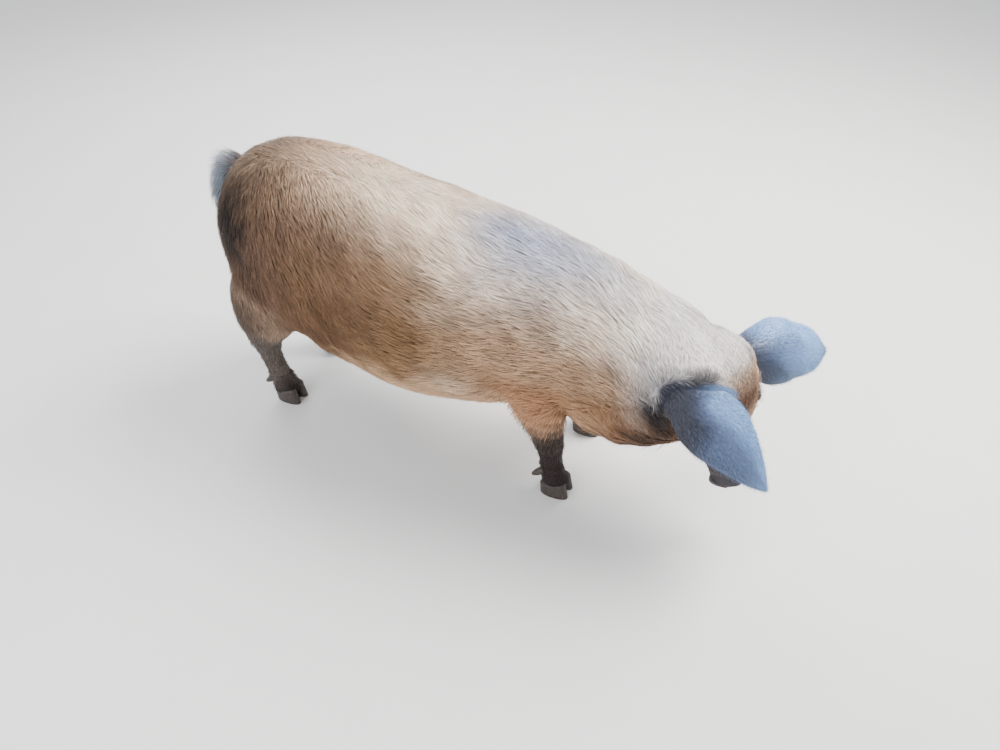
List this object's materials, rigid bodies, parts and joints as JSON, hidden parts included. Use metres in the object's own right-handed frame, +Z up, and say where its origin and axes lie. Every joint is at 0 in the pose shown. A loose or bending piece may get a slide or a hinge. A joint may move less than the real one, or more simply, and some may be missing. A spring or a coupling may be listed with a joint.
{
  "type": "mangalica pig",
  "caption": "Life-size still model of a mangalica pig with a bristly tan coat, standing with its head lowered and turned to its right.",
  "frame": {"origin": "on the floor, under the middle of the pig's bounding box", "axes": "+X towards the head end, +Y to the pig's left, +Z up"},
  "size_m": [1.43, 0.4648, 0.7042],
  "materials": {
    "coat_shoulder": "short straight bristly coat, pale tan over the shoulder",
    "coat_flank": "short straight bristly coat, golden tan",
    "coat_rump": "short straight bristly coat, darker tan brown",
    "coat_neck": "short straight bristly coat, cream with a grey cast",
    "coat_head": "fine short coat, cream to orange tan",
    "snout_skin": "bare dark slate skin, slightly moist",
    "ear_hide": "thin slate blue-grey hide with fine hair",
    "eye": "wet dark brown",
    "tail_hide": "hide with a pale grey-blue tuft",
    "leg_hide": "short dark grey-brown coat, dusty",
    "hoof_horn": "dark slate horn, scuffed"
  },
  "bodies": {
    "root": {"dewclaw_fore_left_inner": "hoof_horn", "dewclaw_fore_left_outer": "hoof_horn", "dewclaw_fore_right_inner": "hoof_horn", "dewclaw_fore_right_outer": "hoof_horn", "dewclaw_hind_left_inner": "hoof_horn", "dewclaw_hind_left_outer": "hoof_horn", "dewclaw_hind_right_inner": "hoof_horn", "dewclaw_hind_right_outer": "hoof_horn", "ear_left": "ear_hide", "ear_right": "ear_hide", "eye_left": "eye", "eye_right": "eye", "head": "coat_head", "hoof_fore_left_inner": "hoof_horn", "hoof_fore_left_outer": "hoof_horn", "hoof_fore_right_inner": "hoof_horn", "hoof_fore_right_outer": "hoof_horn", "hoof_hind_left_inner": "hoof_horn", "hoof_hind_left_outer": "hoof_horn", "hoof_hind_right_inner": "hoof_horn", "hoof_hind_right_outer": "hoof_horn", "leg_fore_left_lower": "leg_hide", "leg_fore_left_upper": "leg_hide", "leg_fore_right_lower": "leg_hide", "leg_fore_right_upper": "leg_hide", "leg_hind_left_lower": "leg_hide", "leg_hind_left_upper": "leg_hide", "leg_hind_right_lower": "leg_hide", "leg_hind_right_upper": "leg_hide", "neck": "coat_neck", "snout": "snout_skin", "tail": "tail_hide", "torso_front": "coat_shoulder", "torso_middle": "coat_flank", "torso_rear": "coat_rump"}
  },
  "joints": []
}
